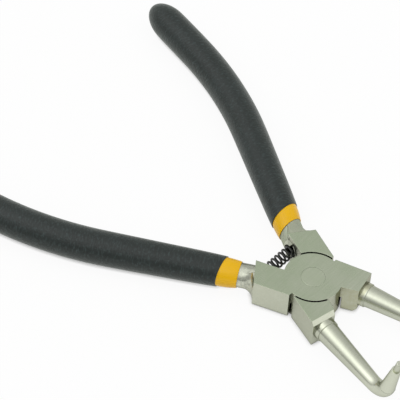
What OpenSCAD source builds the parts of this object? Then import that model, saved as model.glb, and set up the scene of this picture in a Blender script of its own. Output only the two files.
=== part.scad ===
// Internal circlip pliers with bent tips, lying flat and half open.
// The two levers cross at a half-lap joint, so squeezing the handles closes the tips.
// Origin on the pivot axis at the head's bottom face, +X towards the jaws, +Z up.

/* [Joint] */
// Radius of the round hub of each lever
hub_r = 10; // [9:0.5:11]
// Thickness of the head, over both halves of the lap joint
head_t = 11.3; // [10.5:0.1:13]
// Gap between a hub and the hollow of the other lever round it
hub_gap = 0.6; // [0.3:0.05:0.7]
// Gap between the two lap faces
lap_gap = 0.1; // [0.05:0.05:0.3]
// Angle from the cross line to the stop face of a shoulder or a jaw
stop_angle = 3.8; // [3.5:0.1:5]
// Radius of the rivet's shank
rivet_r = 3; // [2.5:0.1:3.4]
// Radius of the rivet's flush heads
rivet_head_r = 4.1; // [3.8:0.1:4.8]
// Depth of the countersinks that the rivet's heads fill
rivet_head_h = 1.2; // [0.8:0.1:1.8]
// Radial clearance of the lever that turns on the rivet
rivet_fit = 0.04; // [0.02:0.01:0.08]

/* [Shoulder] */
// Angle of each handle to the centre line, next to the head
handle_angle = 30.4; // [28:0.2:33]
// Distance of the handle's axis from the pivot axis
handle_offset = 0.8; // [0.4:0.1:1.4]
// Distance from the pivot to the shoulder's back face, along the handle
shoulder_reach = 19.6; // [18.5:0.1:21]
// Angle of the shoulder's back face to the handle's cross line, its outer edge further forward
shoulder_skew = 6.5; // [0:0.5:8]
// Width of the shoulder at its back face
shoulder_w = 9.4; // [9:0.1:10.4]
// Distance of the shoulder's middle outside the handle's axis
shoulder_shift = 1.7; // [1.4:0.1:2]
// Angle at which the shoulder's sides lean to the handle
shoulder_lean = 9.5; // [8:0.5:11]
// Radius of the hollow round between the shoulder and the neck, on the handle's outer side
neck_fillet = 4.2; // [2:0.1:4.3]
// Distance outside the handle's axis at which the hollow round starts
neck_fillet_start = 2; // [0:0.1:3]

/* [Jaw] */
// Angle of each prong to the centre line
prong_angle = 12.1; // [11:0.1:14]
// Distance of the prong's axis from the pivot axis
prong_offset = 6.9; // [6.6:0.1:7.6]
// Distance from the pivot to the jaw's front face, along the prong
jaw_reach = 15.8; // [15:0.1:17]
// Width of the jaw at its front face
jaw_w = 9; // [8.8:0.1:9.6]
// Distance of the jaw's middle outside the prong's axis
jaw_shift = 0.4; // [0.2:0.1:0.6]
// Angle of the jaw's inner side to the prong
jaw_lean_in = 14.5; // [12:0.5:16]
// Angle of the jaw's outer side to the prong
jaw_lean_out = 6; // [4:0.5:8]
// Length of the bevel on the jaw's front edge away from its hub, along the prong
jaw_bevel = 1.3; // [0.8:0.1:2]
// Height of the bevel on the jaw's front edge
jaw_bevel_h = 1.5; // [0.8:0.1:1.5]

/* [Prong] */
// Radius of the short collar at the prong's root
collar_r = 4.2; // [4.15:0.01:4.35]
// Length of the collar
collar_len = 2; // [1:0.1:3]
// Radius of the prong in front of the collar
prong_r = 4.0; // [3.6:0.1:4.1]
// Distance from the pivot to the start of the prong's bend, along the prong
bend_reach = 42; // [36:0.5:48]
// Radius of the prong's section in the bend
bend_section_r = 2.65; // [2.3:0.05:3]
// Radius of the bend's middle line
bend_r = 7.1; // [4:0.1:9]
// Angle that the bend turns through
bend_turn = 78.4; // [60:0.2:90]
// Length of the tapered tip behind its pin
tip_len = 12.4; // [8:0.1:16]
// Radius of the tip at its pin
tip_r = 1.6; // [1.5:0.05:2]
// Radius of the pin that enters the eye of a circlip
pin_r = 1.1; // [0.8:0.05:1.3]
// Length of the pin outside the tip
pin_len = 4.6; // [3:0.1:6]
// Chamfer on the pin's end
pin_chamfer = 0.2; // [0.1:0.05:0.4]
// Radius of the pin's tail, pressed into the tip
pin_tail_r = 0.75; // [0.5:0.05:0.9]
// Length of the pin's tail
pin_tail_len = 4; // [3:0.5:6]

/* [Handle] */
// Radius of the neck, where the handle leaves the shoulder
neck_r = 4.3; // [4.1:0.1:4.6]
// Radius of the tang in front of the handle's knee
tang_r = 4.2; // [3.8:0.1:4.3]
// Step down of the tang's radius through the knee
tang_step = 0.1; // [0.05:0.05:0.3]
// Distance from the pivot to the knee's start, along the handle
knee_reach = 70.4; // [60:0.2:80]
// Radius of the knee's middle line
knee_r = 132; // [100:1:160]
// Angle that the knee turns inwards
knee_turn = 19.2; // [12:0.1:22]
// Length of the handle behind the knee, over the grip
tail_len = 24.9; // [20:0.1:32]
// Distance from the pivot to the mouth of the inner sleeve, along the upper lever's handle
sleeve_reach = 24.6; // [24.4:0.1:27]
// How much further back both mouths lie on the lower lever's handle
mouth_lag = 0.8; // [0:0.1:2]
// Thickness of the inner sleeve
sleeve_t = 0.9; // [0.7:0.05:1]
// Thickness of the inner sleeve at its mouth
sleeve_mouth_t = 0.35; // [0.3:0.05:0.5]
// Length over which the inner sleeve thins to its mouth
sleeve_taper = 3.5; // [2:0.1:4]
// Width of the inner sleeve's band in front of the grip
band_w = 6; // [5:0.1:9]
// Angle at which the upper inner sleeve's mouth slopes, further forward on the inner side
sleeve_slope_upper = 3.5; // [0:0.5:14]
// Angle at which the lower inner sleeve's mouth slopes
sleeve_slope_lower = 24; // [10:0.5:25]
// Angle at which the upper grip's mouth slopes
grip_slope_upper = 14.5; // [4:0.5:18]
// Angle at which the lower grip's mouth slopes
grip_slope_lower = 24; // [10:0.5:26]
// Width of the grip at its mouth
grip_mouth_w = 10.8; // [10.7:0.1:11.2]
// Width of the grip behind its mouth
grip_front_w = 11.3; // [11.2:0.1:11.8]
// Length over which the grip thins to its mouth
grip_taper = 6; // [4:0.5:10]
// Width of the grip through the knee
grip_knee_w = 12.1; // [11.4:0.1:13]
// Width of the grip at its end
grip_end_w = 12.2; // [11.8:0.1:13]
// Height of the grip
grip_h = 12.2; // [11.4:0.1:13]
// Thickness of the grip over the inner sleeve's end
grip_end_t = 2.6; // [2:0.1:4]
// Length of the grip's domed end
grip_dome = 11; // [7:0.5:13]
// Round on the grip's mouth
grip_lip = 0.2; // [0.1:0.05:0.2]
// Round on the inner sleeve's mouth
sleeve_lip = 0.25; // [0.1:0.05:0.3]

/* [Spring] */
// Distance of the spring's axis behind the pivot
spring_reach = 15.4; // [14.8:0.1:15.6]
// Outer radius of the spring
spring_r = 2.3; // [2:0.05:2.5]
// Diameter of the spring's wire
wire_d = 0.75; // [0.5:0.05:0.75]
// Turns of the spring that stand apart
spring_turns = 9; // [7:1:11]
// Closed turns at each end of the spring
end_turns = 1.5; // [1:0.5:2]
// Gap between the closed turns
end_gap = 0.03; // [0.02:0.01:0.05]
// Radial clearance of the spring in its pockets
pocket_gap = 0.3; // [0.2:0.05:0.35]
// Depth of the pockets in the shoulders' inner sides
pocket_depth = 2.8; // [2.4:0.1:3.2]
// Clearance between the spring's ends and the pockets' floors
seat_gap = 0.02; // [0.01:0.01:0.05]

/* [Hidden] */
$fn = 96;
// Cuts reach this far past the faces they open
past = 1;
mid_z = head_t / 2;
// Side lines of the shoulder, across the handle
shoulder_in = handle_offset + shoulder_shift - shoulder_w / 2;
shoulder_out = shoulder_in + shoulder_w;
shoulder_rise = shoulder_reach * tan(shoulder_lean);
// The shoulder's block runs past the skewed back face that is cut on it
shoulder_end = shoulder_reach + past;
shoulder_fall = past * tan(shoulder_lean);
// Side lines of the jaw, across the prong
jaw_in = prong_offset + jaw_shift - jaw_w / 2;
jaw_out = jaw_in + jaw_w;
// How deep the round necks and prongs reach into the blocks they grow from
root_depth = 3;
// How deep the neck's hollow round and the tip are sunk, and the ledge left round them
sink = 0.4;
ledge = 0.1;
neck_root = shoulder_reach - root_depth;
// Height of the shoulder's inner side over the centre line, at the spring
side_angle = handle_angle - shoulder_lean;
corner_x = -shoulder_reach * cos(handle_angle) + shoulder_in * sin(handle_angle);
corner_y = shoulder_reach * sin(handle_angle) + shoulder_in * cos(handle_angle);
spring_side_y = corner_y + (corner_x + spring_reach) * tan(side_angle);
pocket_floor_y = spring_side_y + pocket_depth;
pocket_r = spring_r + pocket_gap;
// Stations along the handle's middle line
knee_end = knee_reach + knee_r * knee_turn * PI / 180;
grip_end = knee_end + tail_len;
sleeve_end = grip_end - grip_end_t;
tang_end = sleeve_end - sleeve_t;
// Sides of the handle's round sections, and steps of its knee and domed ends
sides = 28;
knee_steps = 8;
dome_steps = 5;
// A many-sided hole clears the round inside it when its corners lie this much further out
clear_of_round = 1 / cos(180 / sides);
knee_stations = [
    for (i = [0 : knee_steps])
        knee_reach + (knee_end - knee_reach) * i / knee_steps
];
black = [0.14, 0.15, 0.15];
yellow = [0.9, 0.66, 0.08];
steel = [0.72, 0.73, 0.7];
dark_wire = [0.08, 0.08, 0.09];

// Radius of the tang at a distance along the handle
function tang_at(reach) = lookup(reach, [[neck_root, neck_r], [knee_reach, tang_r]]);

// Radius of the inner sleeve's outside
function sleeve_at(reach) = tang_at(reach) + sleeve_t;

// Half width of the grip behind its tapered front
function grip_at(reach) = lookup(reach, [[knee_reach, grip_knee_w], [grip_end, grip_end_w]]) / 2;

// Point beside the handle's middle line: y to the outer side, z up
function beside(reach, y, z) =
    let (turn = max(0, min(knee_turn, (reach - knee_reach) / knee_r * 180 / PI)))
    let (on = min(reach - knee_reach, 0) + max(reach - knee_end, 0))
        [
            knee_reach + (knee_r + y) * sin(turn) + on * cos(turn),
            -knee_r + (knee_r + y) * cos(turn) - on * sin(turn),
            z
        ];

// Round section of the handle, a half width and b half height, sloped to its axis
function section(reach, a, b, slope = 0) = [
    for (k = [0 : sides - 1])
        let (y = a * cos(360 * k / sides))
            beside(reach + y * tan(slope), y, b * sin(360 * k / sides))
];

// Sections of a domed end of some length, from its rim to near its top
function dome(end, length, a, b) = [
    for (i = [0 : dome_steps - 1])
        let (t = 90 * i / (dome_steps - 0.5))
            section(end - length * (1 - sin(t)), a * cos(t), b * cos(t))
];

// Sections of a sleeve's rounded mouth, from its end face to its outside
function mouth(reach, r, lip, slope) = [
    for (t = [0 : 45 : 90])
        let (cut = lip * (1 - sin(t)))
            section(reach + lip * (1 - cos(t)), r - cut, r - cut, slope)
];

// Sections round the tang behind the knee's start, at a distance from it
function round_tang(gap, end, scale = 1) =
    let (r = (tang_r + gap) * scale)
        concat([for (s = knee_stations) section(s, r, r)], dome(end, r, r, r));

// The same sections from the end forwards
function reversed(list) = [for (i = [len(list) - 1 : -1 : 0]) list[i]];

// Moves to the handle's axis: +X along the handle, +Y to its outer side
module on_handle() {
    rotate([0, 0, 180 + handle_angle])
        translate([0, handle_offset, mid_z])
            children();
}

// Moves to the prong's axis: +X along the prong, +Y to its outer side
module on_prong() {
    rotate([0, 0, prong_angle])
        translate([0, prong_offset, mid_z])
            children();
}

// Moves to the end of the prong's bend, +Z along the tip
module on_tip() {
    on_prong()
        translate([bend_reach, 0, bend_r])
            rotate([0, -bend_turn, 0])
                translate([0, 0, -bend_r])
                    rotate([0, 90, 0])
                        children();
}

// Plan of the shoulder, from its skewed back face to its stop face
module shoulder_plan() {
    difference() {
        rotate(180 + handle_angle)
            polygon([
                [0, shoulder_in + shoulder_rise],
                [shoulder_end, shoulder_in - shoulder_fall],
                [shoulder_end, shoulder_out - shoulder_fall],
                [0, shoulder_out + shoulder_rise]
            ]);
        rotate(-90 - stop_angle)
            square(2 * shoulder_reach);
        rotate(180 + handle_angle)
            translate([shoulder_reach, handle_offset])
                rotate(shoulder_skew)
                    translate([0, -shoulder_reach])
                        square(2 * shoulder_reach);
    }
}

// Plan of the jaw, from its stop face to its front
module jaw_plan() {
    difference() {
        rotate(prong_angle)
            polygon([
                [0, jaw_in - jaw_reach * tan(jaw_lean_in)],
                [jaw_reach, jaw_in],
                [jaw_reach, jaw_out],
                [0, jaw_out - jaw_reach * tan(jaw_lean_out)]
            ]);
        rotate(90 - stop_angle)
            square(2 * jaw_reach);
    }
}

// Bevel across the jaw's front edge on the side away from its hub
module jaw_front_bevel(upper) {
    on_prong()
        mirror([0, 0, upper ? 1 : 0])
            translate([jaw_reach, 2 * jaw_w, mid_z])
                rotate([90, 0, 0])
                    linear_extrude(4 * jaw_w)
                        polygon([
                            [-2 * jaw_bevel, jaw_bevel_h],
                            [jaw_bevel, -2 * jaw_bevel_h],
                            [jaw_bevel, jaw_bevel_h]
                        ]);
}

// Hollow round on the outer side where the neck leaves the shoulder, within the shoulder's section
module neck_flare() {
    outer_r = neck_r - ledge + neck_fillet;
    on_handle()
        intersection() {
            translate([shoulder_reach + neck_fillet, 0, 0])
                rotate([0, 90, shoulder_skew])
                    rotate_extrude()
                        difference() {
                            translate([0, -neck_fillet - sink])
                                square([outer_r, neck_fillet + sink]);
                            translate([outer_r, 0])
                                circle(neck_fillet);
                        }
            translate([neck_root, neck_fillet_start, ledge - mid_z])
                cube([
                    root_depth + neck_fillet + past,
                    shoulder_out - handle_offset - ledge - neck_fillet_start,
                    head_t - 2 * ledge
                ]);
        }
}

// Closed skin over a row of sections
module loft(sections) {
    last = (len(sections) - 1) * sides;
    skin = [
        for (p = [0 : sides : last - sides], k = [0 : sides - 1])
            let (n = (k + 1) % sides, q = p + sides)
                each [[p + k, q + k, q + n], [p + k, q + n, p + n]]
    ];
    ends = [
        [for (k = [0 : sides - 1]) k],
        [for (k = [sides - 1 : -1 : 0]) last + k]
    ];
    polyhedron([for (row = sections) each row], concat(skin, ends));
}

// Tang of the handle: neck up to the knee, then a bent bar with a domed end
module tang() {
    rotate([0, 90, 0])
        translate([0, 0, neck_root])
            cylinder(h = knee_reach - neck_root, r1 = neck_r, r2 = tang_r);
    bar_r = tang_r - tang_step;
    loft(concat(
        [section(knee_reach - root_depth, bar_r, bar_r)],
        round_tang(-tang_step, tang_end)
    ));
}

// Prong with its collar, bend and tapered tip
module prong() {
    on_prong() {
        rotate([0, 90, 0])
            translate([0, 0, jaw_reach - root_depth])
                cylinder(h = root_depth + collar_len, r = collar_r);
        rotate([0, 90, 0])
            translate([0, 0, jaw_reach])
                cylinder(h = bend_reach - jaw_reach, r1 = prong_r, r2 = bend_section_r);
        translate([bend_reach, 0, bend_r])
            rotate([90, 0, 0])
                rotate([0, 0, -90])
                    rotate_extrude(angle = bend_turn)
                        translate([bend_r, 0])
                            circle(bend_section_r);
    }
    on_tip()
        translate([0, 0, -sink])
            cylinder(h = tip_len + sink, r1 = bend_section_r - ledge / 2, r2 = tip_r);
}

// Rivet with two flush heads, or the hole for it with a clearance round it
module rivet_body(clearance, reach) {
    rotate_extrude()
        polygon([
            [0, -reach],
            [rivet_head_r + clearance, -reach],
            [rivet_head_r + clearance, 0],
            [rivet_r + clearance, rivet_head_h],
            [rivet_r + clearance, head_t - rivet_head_h],
            [rivet_head_r + clearance, head_t],
            [rivet_head_r + clearance, head_t + reach],
            [0, head_t + reach]
        ]);
}

// Pocket for the spring's end in the shoulder's inner side
module spring_pocket() {
    translate([-spring_reach, 0, mid_z])
        rotate([90, 0, 0])
            cylinder(h = pocket_floor_y, r = pocket_r);
}

// One lever: handle on the -Y side and jaw on the +Y side, hub in the upper or lower half
module lever(upper) {
    hub_h = mid_z - lap_gap / 2;
    hub_z = upper ? head_t - hub_h : 0;
    hollow_z = upper ? -past : hub_h;
    difference() {
        union() {
            difference() {
                linear_extrude(head_t) {
                    shoulder_plan();
                    jaw_plan();
                }
                translate([0, 0, hollow_z])
                    cylinder(h = head_t - hub_h + past, r = hub_r + hub_gap);
                jaw_front_bevel(upper);
            }
            translate([0, 0, hub_z])
                cylinder(h = hub_h, r = hub_r);
            neck_flare();
            on_handle()
                tang();
            prong();
        }
        rivet_body(upper ? 0 : rivet_fit, past);
        spring_pocket();
        on_tip()
            translate([0, 0, tip_len - pin_tail_len])
                cylinder(h = pin_tail_len + past, r = pin_tail_r);
    }
}

// First dip on the tang, from a mouth that starts further back by a lag and slopes
module inner_sleeve(lag, slope) {
    start = sleeve_reach + lag;
    full = start + sleeve_taper;
    hole_r = tang_at(start) * clear_of_round;
    on_handle()
        loft(concat(
            reversed(round_tang(0, tang_end, clear_of_round)),
            [section(start, hole_r, hole_r, slope)],
            mouth(start, tang_at(start) + sleeve_mouth_t, sleeve_lip, slope),
            [section(full, sleeve_at(full), sleeve_at(full), slope)],
            round_tang(sleeve_t, sleeve_end)
        ));
}

// Outer dip over the inner sleeve
module grip(lag, slope) {
    start = sleeve_reach + band_w + lag;
    hole_r = sleeve_at(start);
    half_h = grip_h / 2;
    front_r = grip_front_w / 2;
    on_handle()
        loft(concat(
            reversed(round_tang(sleeve_t, sleeve_end)),
            [section(start, hole_r, hole_r, slope)],
            mouth(start, grip_mouth_w / 2, grip_lip, slope),
            [section(start + grip_taper, front_r, front_r, slope)],
            [for (s = knee_stations) section(s, grip_at(s), half_h)],
            dome(grip_end, grip_dome, grip_end_w / 2, half_h)
        ));
}

// Pin pressed into the end of a tip
module tip_pin() {
    on_tip()
        translate([0, 0, tip_len])
            rotate_extrude()
                polygon([
                    [0, -pin_tail_len],
                    [pin_tail_r, -pin_tail_len],
                    [pin_tail_r, 0],
                    [pin_r, 0],
                    [pin_r, pin_len - pin_chamfer],
                    [pin_r - pin_chamfer, pin_len],
                    [0, pin_len]
                ]);
}

// Height along the spring's axis after a number of turns, from its lower end
function coil_y(turn, pitch) =
    let (open = max(0, min(spring_turns, turn - end_turns)))
        open * pitch + (turn - open) * (wire_d + end_gap);

// Compression spring with closed ends, along Y between the pockets' floors
module coil() {
    wire_sides = 8;
    steps = 14;
    rings = (spring_turns + 2 * end_turns) * steps;
    span = 2 * (pocket_floor_y - seat_gap) - wire_d;
    pitch = (span - 2 * end_turns * (wire_d + end_gap)) / spring_turns;
    wire_r = wire_d / 2;
    points = [
        for (i = [0 : rings], k = [0 : wire_sides - 1])
            let (turn = i / steps, b = 360 * k / wire_sides)
            let (r = spring_r - wire_r + wire_r * cos(b))
                [
                    r * cos(360 * turn),
                    coil_y(turn, pitch) - span / 2 + wire_r * sin(b),
                    r * sin(360 * turn)
                ]
    ];
    last = rings * wire_sides;
    skin = [
        for (p = [0 : wire_sides : last - wire_sides], k = [0 : wire_sides - 1])
            let (n = (k + 1) % wire_sides, q = p + wire_sides)
                each [[p + k, p + n, q + n], [p + k, q + n, q + k]]
    ];
    ends = [
        [for (k = [wire_sides - 1 : -1 : 0]) k],
        [for (k = [0 : wire_sides - 1]) last + k]
    ];
    polyhedron(points, concat(skin, ends));
}

module lever_upper() {
    color(steel)
        lever(true);
}

module lever_lower() {
    color(steel)
        mirror([0, 1, 0])
            lever(false);
}

module pivot_rivet() {
    color(steel)
        rivet_body(0, 0);
}

module return_spring() {
    color(dark_wire)
        translate([-spring_reach, 0, mid_z])
            coil();
}

module inner_sleeve_upper() {
    color(yellow)
        inner_sleeve(0, sleeve_slope_upper);
}

module inner_sleeve_lower() {
    color(yellow)
        mirror([0, 1, 0])
            inner_sleeve(mouth_lag, sleeve_slope_lower);
}

module grip_upper() {
    color(black)
        grip(0, grip_slope_upper);
}

module grip_lower() {
    color(black)
        mirror([0, 1, 0])
            grip(mouth_lag, grip_slope_lower);
}

module tip_pin_upper() {
    color(steel)
        tip_pin();
}

module tip_pin_lower() {
    color(steel)
        mirror([0, 1, 0])
            tip_pin();
}

lever_upper();
lever_lower();
pivot_rivet();
return_spring();
inner_sleeve_upper();
inner_sleeve_lower();
grip_upper();
grip_lower();
tip_pin_upper();
tip_pin_lower();
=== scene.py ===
"""Looks of a pair of circlip pliers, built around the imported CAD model."""

from math import cos, pi, radians, sin

import bpy
from bpy.props import FloatProperty, FloatVectorProperty, IntProperty, PointerProperty
from mathutils import Matrix, Vector


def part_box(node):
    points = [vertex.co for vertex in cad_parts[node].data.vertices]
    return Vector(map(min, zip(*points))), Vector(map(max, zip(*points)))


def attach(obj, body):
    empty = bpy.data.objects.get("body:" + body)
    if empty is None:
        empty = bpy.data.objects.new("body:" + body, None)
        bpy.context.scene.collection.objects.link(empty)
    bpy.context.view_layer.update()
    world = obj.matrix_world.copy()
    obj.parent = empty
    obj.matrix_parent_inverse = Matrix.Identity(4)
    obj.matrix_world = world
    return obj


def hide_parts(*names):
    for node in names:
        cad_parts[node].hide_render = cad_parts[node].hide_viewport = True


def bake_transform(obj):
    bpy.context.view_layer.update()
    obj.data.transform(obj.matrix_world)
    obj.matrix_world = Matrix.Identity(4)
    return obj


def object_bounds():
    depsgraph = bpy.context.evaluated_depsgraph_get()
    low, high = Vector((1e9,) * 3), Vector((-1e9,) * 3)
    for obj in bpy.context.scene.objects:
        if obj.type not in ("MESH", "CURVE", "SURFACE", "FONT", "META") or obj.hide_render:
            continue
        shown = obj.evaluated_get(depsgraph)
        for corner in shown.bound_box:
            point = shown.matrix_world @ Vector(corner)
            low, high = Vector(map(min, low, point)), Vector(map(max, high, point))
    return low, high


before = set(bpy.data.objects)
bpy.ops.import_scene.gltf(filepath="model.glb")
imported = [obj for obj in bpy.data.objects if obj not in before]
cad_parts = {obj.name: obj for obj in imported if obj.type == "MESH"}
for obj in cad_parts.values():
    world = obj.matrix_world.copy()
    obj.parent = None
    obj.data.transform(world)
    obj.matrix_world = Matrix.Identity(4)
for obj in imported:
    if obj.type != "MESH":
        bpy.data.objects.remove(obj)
CAD_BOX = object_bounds()

bl_info = {
    "name": "Circlip pliers",
    "version": (1, 0, 0),
    "blender": (4, 5, 0),
    "location": "View3D > Sidebar > Pliers",
    "description": "Builds the grips, spring, finishes and studio of a pair of circlip pliers",
    "category": "Object",
}

MM = 0.001
RIGHT_WAY = -1  # with no window, transform.rotate turns the other way
MERGE_GAP = 1e-6

# Steps in which the pieces are shaped
KNEE_STEPS = 8
DOME_STEPS = 8
DOME_STOP = 7.3  # steps from rim to top, so that the last ring stays open
MOUTH_STEPS = 4
BLEND_STEPS = 8
ROUND_STEPS = 6
WIRE_SIDES = 12
FLOOR_SIDES = 96
GRIP_SHARES = (0, 0.33, 0.67)  # shares of the way from the grip's front to its knee
GRIP_HOLE = (0.012, 0.026)  # stations in the grip's hole, in metres behind its mouth
SLEEVE_STATIONS = (0.01, 0.02)  # stations in and on the inner dip, in metres behind its mouth

# Places where the steel's finish changes, in millimetres along +X or along a handle
FLAT_SKIN = 0.05  # depth of a ground face
FLATS_END = 20  # +X: end of the ground faces
JAW_START = 8  # +X: start of the jaws' forged walls
JAW_LESS_SHADE = 14  # +X: less painted crevice shade from here
ROD_START = 16  # +X: start of the turned rods
TIP_START = 30  # +X: start of the tips' painted light
TIP_FADE = 16  # length over which the rods turn paler, a painted light
NECK_LESS_SHADE = 18.5  # handle: less painted crevice shade from here
FORGED_END = 19  # handle: end of the forged walls
NECK_SHOWS = 20.2  # handle: the upper lever's neck comes out of the shoulder
NECK_LEAD = 0.8  # how much earlier the lower lever's neck does

# Soft boxes: the setting of their brightness, their tightness, azimuth and elevation in degrees
SOFT_BOXES = (("key", 8, -140, 56), ("fill", 9, 14, 26), ("front", 25, -70, 58))
DIM_SIDE = -80  # azimuth of the dome's dim front in degrees


def length(name, description, default):
    """A length property, in metres."""
    return FloatProperty(name=name, description=description, default=default, unit="LENGTH", precision=5)


def angle(name, description, degrees):
    """An angle property."""
    return FloatProperty(name=name, description=description, default=radians(degrees), subtype="ANGLE")


def number(name, description, default):
    """A plain number property."""
    return FloatProperty(name=name, description=description, default=default)


def colour(name, description, default):
    """A colour property."""
    return FloatVectorProperty(
        name=name, description=description, default=default, subtype="COLOR", size=3, min=0, max=1
    )


class HandleSizes(bpy.types.PropertyGroup):
    """Sizes of the dipped handles, as in the CAD model, and of the blend behind a shoulder."""

    angle: angle("Handle angle", "Angle of each handle to the centre line", 30.4)
    offset: length("Offset", "Distance of the handle's axis from the pivot", 0.0008)
    mid_height: length("Middle height", "Height of the handle's axis", 0.00565)
    knee_reach: length("Knee", "Distance from the pivot to the knee", 0.0704)
    knee_radius: length("Knee radius", "Radius of the knee's middle line", 0.132)
    knee_turn: angle("Knee turn", "Angle that the knee turns inwards", 19.2)
    tail: length("Tail", "Length of the handle behind the knee", 0.0249)
    neck_start: length("Neck start", "Distance from the pivot to the neck's root", 0.0166)
    neck_radius: length("Neck radius", "Radius of the tang at the neck's root", 0.0043)
    tang_radius: length("Tang radius", "Radius of the tang at the knee", 0.0042)
    sleeve_reach: length("Inner dip", "Distance from the pivot to the upper inner dip's mouth", 0.0246)
    mouth_lag: length("Lag", "How much further back both mouths of the lower handle lie", 0.0008)
    sleeve_thick: length("Inner dip thickness", "Thickness of the inner dip", 0.0009)
    sleeve_rim: length("Inner dip rim", "Thickness of the inner dip at its mouth", 0.00035)
    sleeve_taper: length("Inner dip taper", "Length over which the inner dip thins to its mouth", 0.0035)
    band: length("Band", "Width of the inner dip in front of the outer one", 0.006)
    sleeve_slope_upper: angle("Upper inner slope", "Angle at which the upper inner dip's mouth slopes", 3.5)
    sleeve_slope_lower: angle("Lower inner slope", "Angle at which the lower inner dip's mouth slopes", 24)
    grip_slope_upper: angle("Upper outer slope", "Angle at which the upper outer dip's mouth slopes", 14.5)
    grip_slope_lower: angle("Lower outer slope", "Angle at which the lower outer dip's mouth slopes", 24)
    mouth_width: length("Width at mouth", "Width of the outer dip at its mouth", 0.0108)
    front_width: length("Width behind mouth", "Width of the outer dip behind its thinned front", 0.0113)
    grip_taper: length("Outer dip taper", "Length over which the outer dip thins to its mouth", 0.006)
    knee_width: length("Width at knee", "Width of the outer dip through the knee", 0.0121)
    end_width: length("Width at end", "Width of the outer dip at its end", 0.0122)
    height: length("Height", "Height of the outer dip", 0.0122)
    end_thick: length("End thickness", "Thickness of the outer dip over the inner one's end", 0.0026)
    dome: length("Domed end", "Length of the outer dip's domed end", 0.011)
    grip_lip: length("Outer lip", "Round on the outer dip's mouth", 0.0002)
    sleeve_lip: length("Inner lip", "Round on the inner dip's mouth", 0.00025)
    sides: IntProperty(name="Sides", description="Sides of a handle's round section", default=40)
    blend_root: length("Blend root", "Distance from the pivot to the blend's root, in the shoulder", 0.0188)
    blend_start: length("Blend start", "Distance from the pivot to the blend's shoulder end", 0.0193)
    blend_end: length("Blend end", "Distance from the pivot to the blend's neck end", 0.025)
    blend_width: length("Blend width", "Width of the blend at the shoulder", 0.007)
    blend_end_width: length("Blend end width", "Width of the blend where it sinks into the neck", 0.0036)
    blend_shift: length("Blend shift", "Distance of the blend's middle outside the handle's axis", 0.0005)
    blend_sink: length("Blend sink", "Depth of the blend under the faces that it joins", 0.0001)
    blend_round: length("Blend round", "Round on the blend's sides", 0.0015)
    blend_straight: number("Straight share", "Share of the blend's fall that is straight", 0.6)


class SpringSizes(bpy.types.PropertyGroup):
    """Sizes of the return spring, as in the CAD model."""

    reach: length("Reach", "Distance of the spring's axis behind the pivot", 0.0154)
    radius: length("Radius", "Outer radius of the spring", 0.0023)
    wire: length("Wire", "Diameter of the wire", 0.00075)
    turns: number("Open turns", "Turns that stand apart", 9)
    end_turns: number("Closed turns", "Closed turns at each end", 1.5)
    end_gap: length("Closed gap", "Gap between the closed turns", 0.00003)
    steps: IntProperty(name="Steps", description="Steps of one turn", default=32)


class FinishColours(bpy.types.PropertyGroup):
    """Colours of the finishes."""

    steel: colour("Steel", "Satin plated steel", (0.57, 0.59, 0.487))
    outer_dip: colour("Outer dip", "Charcoal dip of the grips", (0.0105, 0.0155, 0.0142))
    inner_dip: colour("Inner dip", "Yellow dip under the grips", (0.77, 0.435, 0.002))
    wire: colour("Spring wire", "Black finish of the spring", (0.012, 0.013, 0.011))
    # Painted shade in the steel's crevices
    crevice_shade: colour("Crevice_shade", "Painted_shade in the steel's crevices", (0.05, 0.046, 0.03))
    # Painted shade at the inner dip's edges
    dip_crevice_shade: colour("Dip grime", "Painted_shade at the inner dip's edges", (0.16, 0.07, 0.004))


class StudioSettings(bpy.types.PropertyGroup):
    """Camera, floor and light."""

    azimuth: angle("Azimuth", "Direction of the camera from +X towards +Y", -50.76)
    elevation: angle("Elevation", "Height angle of the camera", 50.58)
    roll: angle("Roll", "Turn of the camera about its own axis", 4.09)
    distance: length("Distance", "Distance of the camera from its target", 0.8692)
    target: FloatVectorProperty(
        name="Target",
        description="Point that the camera looks at",
        default=(-0.05515, 0.00512, 0),
        unit="LENGTH",
    )
    sensor: number("Sensor", "Width of the camera's sensor in millimetres", 36)
    lens: number("Lens", "Focal length in millimetres", 225.83)
    wall: number("Wall", "Brightness of the dome at the horizon", 0.6)
    ceiling: number("Ceiling", "Brightness of the dome overhead", 0.79)
    front_fall: number("Dim front", "How much darker the front of the dome is", 0.4)
    key: number("Key light", "Brightness of the large soft box at the left", 1.25)
    fill: number("Fill light", "Brightness of the large soft box at the right", 0.65)
    front: number("Front light", "Brightness of the small soft box by the camera", 0.8)
    floor_radius: length("Floor radius", "Radius of the floor", 3)
    floor_tone: colour("Floor", "Colour of the floor's card", (0.86, 0.86, 0.85))
    floor_white: number("White floor", "Share of plain white that the camera sees on the floor", 0.92)
    floor_mirrored: number("Mirrored floor", "Share of that white that the steel mirrors", 0.7)
    floor_contact: length("Contact shadow", "Reach of the shadow where a piece is near the floor", 0.0015)


class Value:
    """A shader socket that Python's operators work on: each adds a Math node."""

    def __init__(self, finish, socket):
        self.finish = finish
        self.socket = socket

    def math(self, operation, *others):
        return self.finish.add("ShaderNodeMath", {"operation": operation}, dict(enumerate((self, *others))))

    def clip(self, low=0, high=1):
        return self.math("MAXIMUM", low).math("MINIMUM", high)

    def contrast(self, factor):
        """Spreads a noise about its middle."""
        return ((self - 0.5) * factor + 0.5).clip()

    def __add__(self, other):
        return self.math("ADD", other)

    def __sub__(self, other):
        return self.math("SUBTRACT", other)

    def __rsub__(self, other):
        return self.finish.add("ShaderNodeMath", {"operation": "SUBTRACT"}, {0: other, 1: self})

    def __mul__(self, other):
        return self.math("MULTIPLY", other)

    def __truediv__(self, other):
        return self.math("DIVIDE", other)

    def __gt__(self, other):
        return self.math("GREATER_THAN", other)

    def __lt__(self, other):
        return self.math("LESS_THAN", other)

    def __pow__(self, other):
        return self.math("POWER", other)

    __radd__ = __add__
    __rmul__ = __mul__


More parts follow.
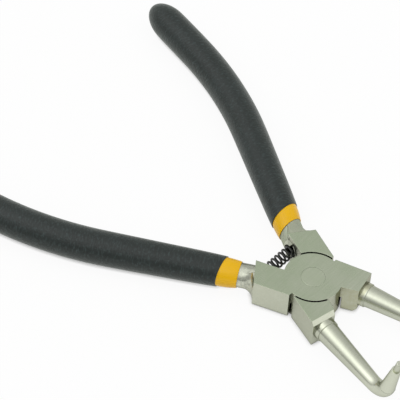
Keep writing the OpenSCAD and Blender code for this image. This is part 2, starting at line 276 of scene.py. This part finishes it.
class Finish:
    """A material, or the world, built from nodes."""

    def __init__(self, owner, output="ShaderNodeOutputMaterial"):
        owner.use_nodes = True
        self.owner = owner
        self.tree = owner.node_tree
        self.tree.nodes.clear()
        self.output = self.tree.nodes.new(output)

    def add(self, kind, settings=None, inputs=None, out=0):
        """Adds a node with its settings, then its values and links, and gives one output."""
        node = self.tree.nodes.new(kind)
        for key, value in (settings or {}).items():
            setattr(node, key, value)
        for key, value in (inputs or {}).items():
            if isinstance(value, Value):
                self.tree.links.new(value.socket, node.inputs[key])
            else:
                node.inputs[key].default_value = value
        return Value(self, node.outputs[out])

    def end(self, shader):
        self.tree.links.new(shader.socket, self.output.inputs["Surface"])
        return self.owner

    def place(self, stretch=(1, 1, 1), turn=(0, 0, 0)):
        """Object coordinates in millimetres, turned and stretched."""
        spot = self.add("ShaderNodeTexCoord", out="Object")
        scale = [s / MM for s in stretch]
        return self.add("ShaderNodeMapping", inputs={"Vector": spot, "Rotation": turn, "Scale": scale})

    def axes(self, place):
        """The three coordinates of a place."""
        return [self.add("ShaderNodeSeparateXYZ", inputs={0: place}, out=axis) for axis in "XYZ"]

    def noise(self, size, place=None, detail=2.0, rough=0.5):
        """Noise from 0 to 1 whose cells are about a size in millimetres."""
        place = place or self.place()
        sockets = {"Vector": place, "Scale": 1 / size, "Detail": detail, "Roughness": rough}
        return self.add("ShaderNodeTexNoise", inputs=sockets)

    def openness(self, reach):
        """1 on open faces, falling to 0 where other faces stand within a reach in millimetres."""
        return self.add("ShaderNodeAmbientOcclusion", {"samples": 8}, {"Distance": reach * MM}, out="AO")

    def tint(self, factor, first, second):
        """Mixes two colours."""
        sides = {0: factor, 6: first, 7: second}
        for key in (6, 7):
            if not isinstance(sides[key], Value):
                sides[key] = (*sides[key][:3], 1)
        return self.add("ShaderNodeMix", {"data_type": "RGBA"}, sides, out=2)

    def bump(self, height, depth, normal=None):
        """Bump of a depth in millimetres."""
        sockets = {"Height": height, "Distance": depth * MM, "Strength": 1.0}
        if normal:
            sockets["Normal"] = normal
        return self.add("ShaderNodeBump", inputs=sockets)

    def surface(self, **sockets):
        """Principled shader; socket names are written with underscores."""
        inputs = {key.replace("_", " ").title().replace("Ior", "IOR"): v for key, v in sockets.items()}
        return self.end(self.add("ShaderNodeBsdfPrincipled", inputs=inputs))


def shade(tone, factor):
    """A colour made lighter or darker."""
    return tuple(min(1, c * factor) for c in tone)


def cast(tone, parts):
    """A colour with its red, green and blue scaled each by its own part."""
    return tuple(c * part for c, part in zip(tone, parts))


def rivet_heights():
    """Heights of the ground faces in millimetres, flush with the rivet's heads."""
    return [corner.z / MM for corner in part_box("pivot_rivet")]


def steel_finish(name, tone, crevice_tone, way, rough):
    """Satin plated steel: turned rods, ground flats and dull necks; painted shade on the flats, on the
    lower neck and in the crevices, painted highlights on the upper neck and painted light on the tips.
    """
    f = Finish(bpy.data.materials.new(name))
    x, y, z = f.axes(f.place())
    bottom, top = rivet_heights()
    along = y.math("ABSOLUTE") * sin(way) - x * cos(way)
    left = y > 0  # the lower lever's handle and the upper lever's jaw
    ground = ((z > top - FLAT_SKIN) + (z < bottom + FLAT_SKIN)) * (x < FLATS_END)
    neck = along > NECK_SHOWS - left * NECK_LEAD
    forged = (1 - ground) * (x < ROD_START) * (along < FORGED_END)

    cloud = f.noise(9.0, detail=3)
    patch = f.noise(1.7, detail=4, rough=0.6)
    grain = f.noise(0.16, detail=3)
    marks = f.noise(0.45, f.place((1, 0.05, 1), (0, 0, radians(32))), detail=3)
    blot = patch.contrast(2.5)
    scuff = marks.contrast(2.5)
    # Painted shade: the colour darkens where other faces stand within 2.5 mm, as in the crevices, less so
    # on the necks and the rods
    crevice = ((1 - f.openness(2.5)) * 1.8 - 0.45).clip()
    crevice_shade = crevice * (1 - (along > NECK_LESS_SHADE) * 0.75 - (x > JAW_LESS_SHADE) * 0.5)

    green = cast(tone, (0.71, 0.79, 0.68))
    warm = cast(tone, (0.74, 0.7, 0.52))
    # Painted shade: the top and bottom flats turn greener and darker, more so towards -X and on the -Y
    # half, and so does the lower lever's neck
    flat_shade = 0.35 + cloud - x * 0.014 - y.math("MINIMUM", 0) * 0.015
    base = f.tint(cloud, shade(tone, 0.93), shade(tone, 1.05))
    base = f.tint(ground * flat_shade + neck * left * 0.5, base, green)
    base = f.tint(blot * (0.3 + neck * 0.5), base, shade(tone, 0.86))
    base = f.tint(forged * patch * (0.15 + left * (x > JAW_START) * 0.85), base, warm)
    base = f.tint(scuff * (0.18 + ground * 0.22), base, shade(green, 0.85))
    # The upper lever's neck: pale and dark blotches, partly scuffs and partly painted highlight streaks
    base = f.tint(neck * (1 - left), base, f.tint(blot, shade(tone, 1.18), shade(tone, 0.58)))
    # Painted light: the rods turn paler towards the tips
    base = f.tint(((x - TIP_START) / TIP_FADE).clip(), base, shade(tone, 1.14))

    uneven = (cloud - 0.5) * 0.08 + (grain - 0.5) * 0.06
    dull = ground * 0.06 + (x > ROD_START) * 0.06 + neck * (patch * 0.16 + left * 0.32)
    relief = grain * 0.5 + marks + patch * (0.3 + neck * 3)
    soft_edge = f.add("ShaderNodeBevel", {"samples": 6}, {"Radius": 0.25 * MM})
    return f.surface(
        base_color=f.tint(crevice_shade, base, crevice_tone),
        metallic=1.0,
        roughness=rough + uneven + dull,
        specular_tint=(0.6, 0.6, 0.58, 1),
        normal=f.bump(relief, depth=0.006, normal=soft_edge),
    )


def outer_dip_finish(name, tone, way):
    """Charcoal dip with paler clouds, and a leathery grain across the handle that breaks up its gloss."""
    f = Finish(bpy.data.materials.new(name))
    x, y, z = f.axes(f.place())
    side = y.math("ABSOLUTE")
    along = side * sin(way) - x * cos(way)
    across = side * cos(way) + x * sin(way)
    fleck_length, fleck_width = 1.3, 0.55
    spot = {0: along / fleck_width, 1: across / fleck_length, 2: z / fleck_length}
    fleck = f.noise(1.0, f.add("ShaderNodeCombineXYZ", inputs=spot), detail=2)
    fleck = ((fleck - 0.5) * 3.5).clip()
    cloud = f.noise(14.0, detail=4, rough=0.6)
    blotch = f.noise(2.4, detail=4, rough=0.6)
    grain = f.noise(0.7, detail=3, rough=0.6)
    pale = cast(tone, (1.35, 1.35, 1.45))
    base = f.tint(blotch, shade(tone, 0.6), shade(tone, 1.4))
    base = f.tint(((cloud - 0.45) * 3).clip(high=0.8), base, pale)
    return f.surface(
        base_color=f.tint(fleck, base, shade(pale, 2.2)),
        roughness=0.35 + (blotch - 0.5) * 0.16 + (grain - 0.5) * 0.2,
        specular_ior_level=0.35,
        sheen_weight=0.12,
        sheen_roughness=0.5,
        sheen_tint=(0.85, 1.0, 0.8, 1),
        normal=f.bump(grain * 1.3 + fleck * 0.3 + blotch * 0.8, depth=0.1),
    )


def inner_dip_finish(name, tone, crevice_tone):
    """Semi-gloss yellow dip, a little uneven, with painted shade at its edges."""
    f = Finish(bpy.data.materials.new(name))
    cloud = f.noise(4.0, detail=3)
    skin = f.noise(0.9, detail=2)
    # Painted shade where other faces stand near the dip's edges
    crevice_shade = ((1 - f.openness(1.2)) * 1.5 - 0.3).clip(high=0.8)
    base = f.tint(cloud, shade(tone, 0.93), shade(tone, 1.06))
    return f.surface(
        base_color=f.tint(crevice_shade, base, crevice_tone),
        roughness=0.2 + (skin - 0.5) * 0.12,
        specular_ior_level=0.3,
        normal=f.bump(skin + cloud, depth=0.03),
    )


def wire_finish(name, tone):
    """Blackened spring wire with drawing marks."""
    f = Finish(bpy.data.materials.new(name))
    cloud = f.noise(1.2, detail=3)
    grain = f.noise(0.12, detail=2)
    return f.surface(
        base_color=f.tint(cloud, shade(tone, 0.7), shade(tone, 1.6)),
        roughness=0.34 + (grain - 0.5) * 0.2,
        specular_ior_level=0.5,
        normal=f.bump(grain, depth=0.004),
    )


def clear_selection():
    """Leaves edit mode with nothing selected."""
    if bpy.context.object and bpy.context.object.mode != "OBJECT":
        bpy.ops.object.mode_set(mode="OBJECT")
    bpy.ops.object.select_all(action="DESELECT")


def select_only(piece):
    """Selects one piece and makes it active."""
    clear_selection()
    piece.select_set(True)
    bpy.context.view_layer.objects.active = piece


def apply_place(piece):
    """Puts the piece's place into its mesh."""
    select_only(piece)
    bpy.ops.object.transform_apply(location=True, rotation=True, scale=True)


def apply_modifier(piece, kind, **settings):
    """Adds a modifier, sets it and applies it."""
    select_only(piece)
    bpy.ops.object.modifier_add(type=kind)
    modifier = piece.modifiers[-1]
    for key, value in settings.items():
        setattr(modifier, key, value)
    bpy.ops.object.modifier_apply(modifier=modifier.name)


def dress(piece, material, body, slot, *nodes):
    """Gives a finished piece its material and its body, and hides the nodes that it stands for; the slot is
    not used.
    """
    piece.data.materials.clear()
    piece.data.materials.append(material)
    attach(piece, body)
    if nodes:
        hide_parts(*nodes)


class Handle:
    """The handle's middle line and the round sections along it, its mouths set back by a lag."""

    def __init__(self, sizes, lag):
        self.s = sizes
        self.sleeve_start = sizes.sleeve_reach + lag
        self.grip_start = self.sleeve_start + sizes.band
        self.knee_end = sizes.knee_reach + sizes.knee_radius * sizes.knee_turn
        self.grip_end = self.knee_end + sizes.tail
        self.sleeve_end = self.grip_end - sizes.end_thick
        self.tang_end = self.sleeve_end - sizes.sleeve_thick
        knee_length = self.knee_end - sizes.knee_reach
        self.knee = [sizes.knee_reach + knee_length * i / KNEE_STEPS for i in range(KNEE_STEPS + 1)]

    def middle(self, reach):
        """Point on the middle line and the heading there."""
        s = self.s
        turn = max(0, min(s.knee_turn, (reach - s.knee_reach) / s.knee_radius))
        on = min(reach - s.knee_reach, 0) + max(reach - self.knee_end, 0)
        x = s.knee_reach + s.knee_radius * sin(turn) + on * cos(turn)
        y = s.offset - s.knee_radius * (1 - cos(turn)) - on * sin(turn)
        way = pi + s.angle
        spot = Vector((x * cos(way) - y * sin(way), x * sin(way) + y * cos(way), s.mid_height))
        return spot, way - turn

    def tang(self, reach):
        """Radius of the tang."""
        s = self.s
        share = max(0, min(1, (reach - s.neck_start) / (s.knee_reach - s.neck_start)))
        return s.neck_radius + (s.tang_radius - s.neck_radius) * share

    def round_tang(self, gap, end, first):
        """Sections round the tang, at a distance from it, from some first stations to its domed end."""
        r = self.s.tang_radius + gap
        rows = [(x, self.tang(x) + gap, self.tang(x) + gap, 0) for x in first]
        return rows + [(x, r, r, 0) for x in self.knee] + self.dome(end, r, r, r)

    def dome(self, end, length, a, b):
        """Sections of a domed end, from its rim to near its top."""
        turns = [pi / 2 * i / DOME_STOP for i in range(DOME_STEPS)]
        return [(end - length * (1 - sin(t)), a * cos(t), b * cos(t), 0) for t in turns]

    def mouth(self, reach, r, lip, slope):
        """Sections of a rounded mouth, from its face to its outside."""
        rows = []
        for i in range(MOUTH_STEPS + 1):
            t = pi / 2 * i / MOUTH_STEPS
            cut = lip * (1 - sin(t))
            rows.append((reach + lip * (1 - cos(t)), r - cut, r - cut, slope))
        return rows

    def grip_rows(self, slope):
        """Sections of the outer dip, from its inner end over its mouth to its outer end."""
        s = self.s
        start, full = self.grip_start, self.grip_start + s.grip_taper
        hole = self.tang(start) + s.sleeve_thick
        front, side, half_h = s.front_width / 2, s.knee_width / 2, s.height / 2
        inside = [start + station for station in GRIP_HOLE]
        rows = self.round_tang(s.sleeve_thick, self.sleeve_end, inside)[::-1]
        rows += [(start, hole, hole, slope)] + self.mouth(start, s.mouth_width / 2, s.grip_lip, slope)
        for share in GRIP_SHARES:
            reach = full + (s.knee_reach - full) * share
            half_width = front + (side - front) * share
            half_height = front + (half_h - front) * share
            rows.append((reach, half_width, half_height, slope * (1 - share)))
        for reach in self.knee:
            share = (reach - s.knee_reach) / (self.grip_end - s.knee_reach)
            rows.append((reach, side + (s.end_width / 2 - side) * share, half_h, 0))
        return rows + self.dome(self.grip_end, s.dome, s.end_width / 2, half_h)

    def sleeve_rows(self, slope):
        """Sections of the inner dip, from its inner end over its mouth to its outer end."""
        s = self.s
        start, full = self.sleeve_start, self.sleeve_start + s.sleeve_taper
        hole = self.tang(start)
        thick = self.tang(full) + s.sleeve_thick
        middle = [start + station for station in SLEEVE_STATIONS]
        rows = self.round_tang(0, self.tang_end, middle)[::-1] + [(start, hole, hole, slope)]
        rows += self.mouth(start, hole + s.sleeve_rim, s.sleeve_lip, slope)
        rows += [(full, thick, thick, slope)]
        return rows + self.round_tang(s.sleeve_thick, self.sleeve_end, middle)


def loft(name, handle, rows):
    """Grows a closed skin from ring to ring: a filled circle first, then one extrusion a row."""
    clear_selection()

    def ring(row):
        reach, a, b, slope = row
        spot, way = handle.middle(reach)
        return spot, way - slope, a / cos(slope), b

    spot, way, a, b = ring(rows[0])
    bpy.ops.mesh.primitive_circle_add(
        vertices=handle.s.sides, radius=a, fill_type="TRIFAN", location=spot, rotation=(0, pi / 2, way)
    )
    piece = bpy.context.object
    piece.name = name
    piece.data.name = name
    bpy.ops.object.transform_apply(location=True, rotation=True, scale=True)
    bpy.ops.object.mode_set(mode="EDIT")
    bpy.ops.mesh.select_mode(type="EDGE")
    bpy.ops.mesh.select_all(action="SELECT")
    bpy.ops.transform.resize(value=(1, 1, b / a), center_override=spot)
    bpy.ops.mesh.region_to_loop()
    for row in rows[1:]:
        spot_2, way_2, a_2, b_2 = ring(row)
        bpy.ops.mesh.extrude_region_move(TRANSFORM_OT_translate={"value": spot_2 - spot})
        bpy.ops.transform.rotate(value=RIGHT_WAY * (way_2 - way), orient_axis="Z", center_override=spot_2)
        bpy.ops.transform.resize(value=(a_2 / a, a_2 / a, b_2 / b), center_override=spot_2)
        spot, way, a, b = spot_2, way_2, a_2, b_2
    bpy.ops.mesh.extrude_region_move(TRANSFORM_OT_translate={"value": (0, 0, 0)})
    bpy.ops.mesh.merge(type="CENTER")
    bpy.ops.mesh.select_all(action="SELECT")
    bpy.ops.mesh.normals_make_consistent(inside=False)
    bpy.ops.object.mode_set(mode="OBJECT")
    apply_modifier(piece, "SUBSURF", levels=1, render_levels=1)
    bpy.ops.object.shade_smooth()
    return piece


def to_other_side(piece):
    """Mirrors a piece to the other lever's side."""
    select_only(piece)
    bpy.ops.object.mode_set(mode="EDIT")
    bpy.ops.mesh.select_all(action="SELECT")
    bpy.ops.transform.resize(value=(1, -1, 1), center_override=(0, 0, 0))
    bpy.ops.mesh.normals_make_consistent(inside=False)
    bpy.ops.object.mode_set(mode="OBJECT")


def neck_blend(name, s):
    """Grows the hollow blend from the shoulder's upper face down to the neck, at the upper handle."""
    clear_selection()
    shoulder_top = s.mid_height - s.blend_sink
    neck_top = s.neck_radius - s.blend_sink

    def section(share):
        """Place along the handle, place across it, width and height of one section."""
        smooth = share * share * (3 - 2 * share)
        ease = s.blend_straight * share + (1 - s.blend_straight) * smooth
        along = s.blend_start + (s.blend_end - s.blend_start) * share
        across = s.offset + s.blend_shift * (1 - ease)
        width = s.blend_width + (s.blend_end_width - s.blend_width) * ease
        height = shoulder_top + (neck_top - shoulder_top) * ease
        return along, across, width, height

    along, across, width, height = section(0)
    base = Vector((s.blend_root, across, s.mid_height))
    middle = base + Vector((0, 0, width / 2))
    bpy.ops.mesh.primitive_plane_add(size=width, location=middle, rotation=(0, pi / 2, 0))
    piece = bpy.context.object
    piece.name = name
    piece.data.name = name
    bpy.ops.object.transform_apply(location=True, rotation=True, scale=True)
    bpy.ops.object.mode_set(mode="EDIT")
    bpy.ops.mesh.select_mode(type="VERT")
    bpy.ops.mesh.select_all(action="SELECT")
    bpy.ops.transform.resize(value=(1, 1, height / width), center_override=base)
    bpy.ops.mesh.select_all(action="DESELECT")
    bpy.ops.object.mode_set(mode="OBJECT")
    for corner in piece.data.vertices:
        corner.select = corner.co.z > middle.z
    bpy.ops.object.mode_set(mode="EDIT")
    bpy.ops.mesh.bevel(offset=s.blend_round, segments=ROUND_STEPS, affect="VERTICES")
    bpy.ops.mesh.select_all(action="SELECT")
    bpy.ops.mesh.select_mode(type="FACE")
    for i in range(BLEND_STEPS + 1):
        along, across, width_2, height_2 = section(i / BLEND_STEPS)
        spot = Vector((along, across, s.mid_height))
        bpy.ops.mesh.extrude_region_move(TRANSFORM_OT_translate={"value": spot - base})
        bpy.ops.transform.resize(value=(1, width_2 / width, height_2 / height), center_override=spot)
        base, width, height = spot, width_2, height_2
    bpy.ops.mesh.select_all(action="SELECT")
    bpy.ops.mesh.normals_make_consistent(inside=False)
    bpy.ops.object.mode_set(mode="OBJECT")
    bpy.ops.object.shade_smooth_by_angle(angle=radians(40))
    piece.rotation_euler.z = pi + s.angle
    apply_place(piece)
    return piece


class PLIERS_OT_blend(bpy.types.Operator):
    """Models the hollow blend between the lower lever's shoulder and neck"""

    bl_idname = "pliers.blend"
    bl_label = "Neck blend"

    def execute(self, context):
        s = context.scene.pliers_handle
        blend = neck_blend("neck_blend_lower", s)
        to_other_side(blend)
        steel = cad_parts["lever_lower"].data.materials[0]
        dress(blend, steel, "lower_lever", "forged_steel")
        return {"FINISHED"}


class PLIERS_OT_grips(bpy.types.Operator):
    """Models the charcoal outer dips of both handles"""

    bl_idname = "pliers.grips"
    bl_label = "Grips"

    def execute(self, context):
        s = context.scene.pliers_handle
        upper, lower = Handle(s, 0), Handle(s, s.mouth_lag)
        upper_grip = loft("grip_skin_upper", upper, upper.grip_rows(s.grip_slope_upper))
        lower_grip = loft("grip_skin_lower", lower, lower.grip_rows(s.grip_slope_lower))
        to_other_side(lower_grip)
        finish = outer_dip_finish("outer_dip", context.scene.pliers_colours.outer_dip, s.angle)
        dress(upper_grip, finish, "upper_lever", "outer_dip", "grip_upper")
        dress(lower_grip, finish, "lower_lever", "outer_dip", "grip_lower")
        return {"FINISHED"}


class PLIERS_OT_sleeves(bpy.types.Operator):
    """Models the yellow inner dips of both handles"""

    bl_idname = "pliers.sleeves"
    bl_label = "Inner dips"

    def execute(self, context):
        s = context.scene.pliers_handle
        upper, lower = Handle(s, 0), Handle(s, s.mouth_lag)
        upper_dip = loft("inner_dip_upper", upper, upper.sleeve_rows(s.sleeve_slope_upper))
        lower_dip = loft("inner_dip_lower", lower, lower.sleeve_rows(s.sleeve_slope_lower))
        to_other_side(lower_dip)
        colours = context.scene.pliers_colours
        finish = inner_dip_finish("inner_dip", colours.inner_dip, colours.dip_crevice_shade)
        dress(upper_dip, finish, "upper_lever", "inner_dip", "inner_sleeve_upper")
        dress(lower_dip, finish, "lower_lever", "inner_dip", "inner_sleeve_lower")
        return {"FINISHED"}


class PLIERS_OT_spring(bpy.types.Operator):
    """Models the return spring between the shoulders"""

    bl_idname = "pliers.spring"
    bl_label = "Return spring"

    def execute(self, context):
        s = context.scene.pliers_spring
        low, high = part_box("return_spring")
        height = (low.z + high.z) / 2
        wire_r = s.wire / 2
        span = high.y - low.y - s.wire
        closed = s.wire + s.end_gap
        pitch = (span - 2 * s.end_turns * closed) / s.turns
        start = low.y + wire_r
        turned = 0
        parts = []
        for turns, rise in ((s.end_turns, closed), (s.turns, pitch), (s.end_turns, closed)):
            steps = round(s.steps * turns)
            clear_selection()
            bpy.ops.mesh.primitive_circle_add(
                vertices=WIRE_SIDES, radius=wire_r, location=(-s.reach, start, height)
            )
            part = bpy.context.object
            bpy.ops.object.mode_set(mode="EDIT")
            bpy.ops.mesh.select_all(action="SELECT")
            bpy.ops.transform.translate(value=(s.radius - wire_r, 0, 0))
            bpy.ops.object.mode_set(mode="OBJECT")
            apply_modifier(
                part, "SCREW", axis="Y", angle=-2 * pi * turns, screw_offset=rise * turns,
                steps=steps, render_steps=steps, use_merge_vertices=False,
            )
            part.rotation_euler.y = -2 * pi * turned
            apply_place(part)
            parts.append(part)
            start += rise * turns
            turned += turns
        clear_selection()
        for part in parts:
            part.select_set(True)
        piece = parts[0]
        bpy.context.view_layer.objects.active = piece
        bpy.ops.object.join()
        piece.name = "spring_coil"
        piece.data.name = "spring_coil"
        bpy.ops.object.mode_set(mode="EDIT")
        bpy.ops.mesh.select_mode(type="EDGE")
        bpy.ops.mesh.select_all(action="SELECT")
        bpy.ops.mesh.remove_doubles(threshold=MERGE_GAP)
        bpy.ops.mesh.select_all(action="DESELECT")
        bpy.ops.mesh.select_non_manifold()
        bpy.ops.mesh.fill_holes(sides=0)
        bpy.ops.mesh.select_all(action="SELECT")
        bpy.ops.mesh.normals_make_consistent(inside=False)
        bpy.ops.object.mode_set(mode="OBJECT")
        bpy.ops.object.shade_smooth_by_angle(angle=radians(50))
        piece.data.materials.clear()
        piece.data.materials.append(wire_finish("spring_wire", context.scene.pliers_colours.wire))
        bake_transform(piece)
        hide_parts("return_spring")
        return {"FINISHED"}


class PLIERS_OT_steel(bpy.types.Operator):
    """Gives the forged levers, the rivet and the pins their steel"""

    bl_idname = "pliers.steel"
    bl_label = "Steel"

    def execute(self, context):
        tone = context.scene.pliers_colours.steel
        crevice_tone = context.scene.pliers_colours.crevice_shade
        way = context.scene.pliers_handle.angle
        finishes = {
            "lever": steel_finish("forged_steel", tone, crevice_tone, way, rough=0.2),
            "pivot": steel_finish("rivet_steel", shade(tone, 1.03), crevice_tone, way, rough=0.24),
            "tip": steel_finish("pin_steel", shade(tone, 0.9), crevice_tone, way, rough=0.22),
        }
        for name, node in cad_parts.items():
            kind = name.split("_")[0]
            if kind in finishes:
                node.data.materials.clear()
                node.data.materials.append(finishes[kind])
        return {"FINISHED"}


class PLIERS_OT_stage(bpy.types.Operator):
    """Sets up the floor, the light and the camera"""

    bl_idname = "pliers.stage"
    bl_label = "Studio"

    def execute(self, context):
        s = context.scene.pliers_studio
        self.floor(s)
        self.light(s)
        self.camera(context, s)
        context.scene.view_settings.view_transform = "Standard"
        return {"FINISHED"}

    def floor(self, s):
        """A pale card that the camera and the steel see as nearly plain white, with the object's shadow."""
        clear_selection()
        bpy.ops.mesh.primitive_circle_add(
            vertices=FLOOR_SIDES, radius=s.floor_radius, fill_type="NGON", location=(0, 0, CAD_BOX[0][2])
        )
        floor = bpy.context.object
        floor.name = "studio_floor"
        f = Finish(bpy.data.materials.new("pale_floor"))
        seen = f.add("ShaderNodeLightPath", out="Is Camera Ray")
        shine = f.add("ShaderNodeLightPath", out="Is Glossy Ray")
        clear = f.add("ShaderNodeLightPath", out="Is Transmission Ray")
        white = seen.math("MAXIMUM", shine * s.floor_mirrored).math("MAXIMUM", clear) * s.floor_white
        share = white * f.openness(s.floor_contact / MM)
        card = f.add("ShaderNodeBsdfDiffuse", inputs={"Color": (*s.floor_tone, 1)})
        glow = f.add("ShaderNodeEmission", inputs={"Color": (1, 1, 1, 1), "Strength": 1.0})
        mix = f.add("ShaderNodeMixShader", inputs={0: share, 1: card, 2: glow})
        floor.data.materials.append(f.end(mix))

    def light(self, s):
        """A dome with a dim front and three soft boxes, all without hard edges."""
        world = bpy.data.worlds.new("studio_dome")
        bpy.context.scene.world = world
        f = Finish(world, "ShaderNodeOutputWorld")
        way = f.add("ShaderNodeTexCoord", out="Generated")

        def towards(azimuth, elevation):
            az, el = radians(azimuth), radians(elevation)
            aim = (cos(el) * cos(az), cos(el) * sin(az), sin(el))
            sockets = {0: way, 1: aim}
            return f.add("ShaderNodeVectorMath", {"operation": "DOT_PRODUCT"}, sockets, out="Value")

        rise = towards(0, 90).math("MAXIMUM", 0)
        ahead = towards(DIM_SIDE, 0).math("MAXIMUM", 0)
        tone = s.wall + (s.ceiling - s.wall) * rise - ahead * (1 - rise) ** 2 * s.front_fall
        for setting, tightness, azimuth, elevation in SOFT_BOXES:
            lobe = ((towards(azimuth, elevation) - 1) * tightness).math("EXPONENT")
            tone = tone + lobe * getattr(s, setting)
        f.end(f.add("ShaderNodeBackground", inputs={"Color": (1, 1, 1, 1), "Strength": tone}))

    def camera(self, context, s):
        clear_selection()
        bpy.ops.object.camera_add()
        camera = bpy.context.object
        camera.name = "photo_camera"
        level = Vector((cos(s.azimuth), sin(s.azimuth), 0))
        back = level * cos(s.elevation) + Vector((0, 0, sin(s.elevation)))
        right = (-back).cross(Vector((0, 0, 1))).normalized()
        up = right.cross(-back)
        c, t = cos(s.roll), sin(s.roll)
        axes = Matrix((c * right + t * up, c * up - t * right, back)).transposed()
        camera.matrix_world = Matrix.Translation(Vector(s.target) + back * s.distance) @ axes.to_4x4()
        camera.data.sensor_width = s.sensor
        camera.data.lens = s.lens
        camera.data.clip_start = 0.01
        context.scene.camera = camera


class PLIERS_PT_panel(bpy.types.Panel):
    """Lists the operators in the order that main runs them"""

    bl_label = "Circlip pliers"
    bl_idname = "PLIERS_PT_panel"
    bl_space_type = "VIEW_3D"
    bl_region_type = "UI"
    bl_category = "Pliers"

    def draw(self, context):
        for operator in OPERATORS:
            self.layout.operator(operator.bl_idname)
        for group in GROUPS:
            box = self.layout.box()
            for name in GROUPS[group].__annotations__:
                box.prop(getattr(context.scene, group), name)


OPERATORS = (
    PLIERS_OT_steel, PLIERS_OT_blend, PLIERS_OT_sleeves, PLIERS_OT_grips, PLIERS_OT_spring, PLIERS_OT_stage
)
GROUPS = {
    "pliers_handle": HandleSizes,
    "pliers_spring": SpringSizes,
    "pliers_colours": FinishColours,
    "pliers_studio": StudioSettings,
}


def register():
    for item in (*GROUPS.values(), *OPERATORS, PLIERS_PT_panel):
        bpy.utils.register_class(item)
    for name, group in GROUPS.items():
        setattr(bpy.types.Scene, name, PointerProperty(type=group))


def unregister():
    for name in GROUPS:
        delattr(bpy.types.Scene, name)
    for item in (PLIERS_PT_panel, *OPERATORS, *GROUPS.values()):
        bpy.utils.unregister_class(item)


def main():
    register()
    for operator in OPERATORS:
        group, name = operator.bl_idname.split(".")
        getattr(getattr(bpy.ops, group), name)()


if __name__ == "__main__":
    main()
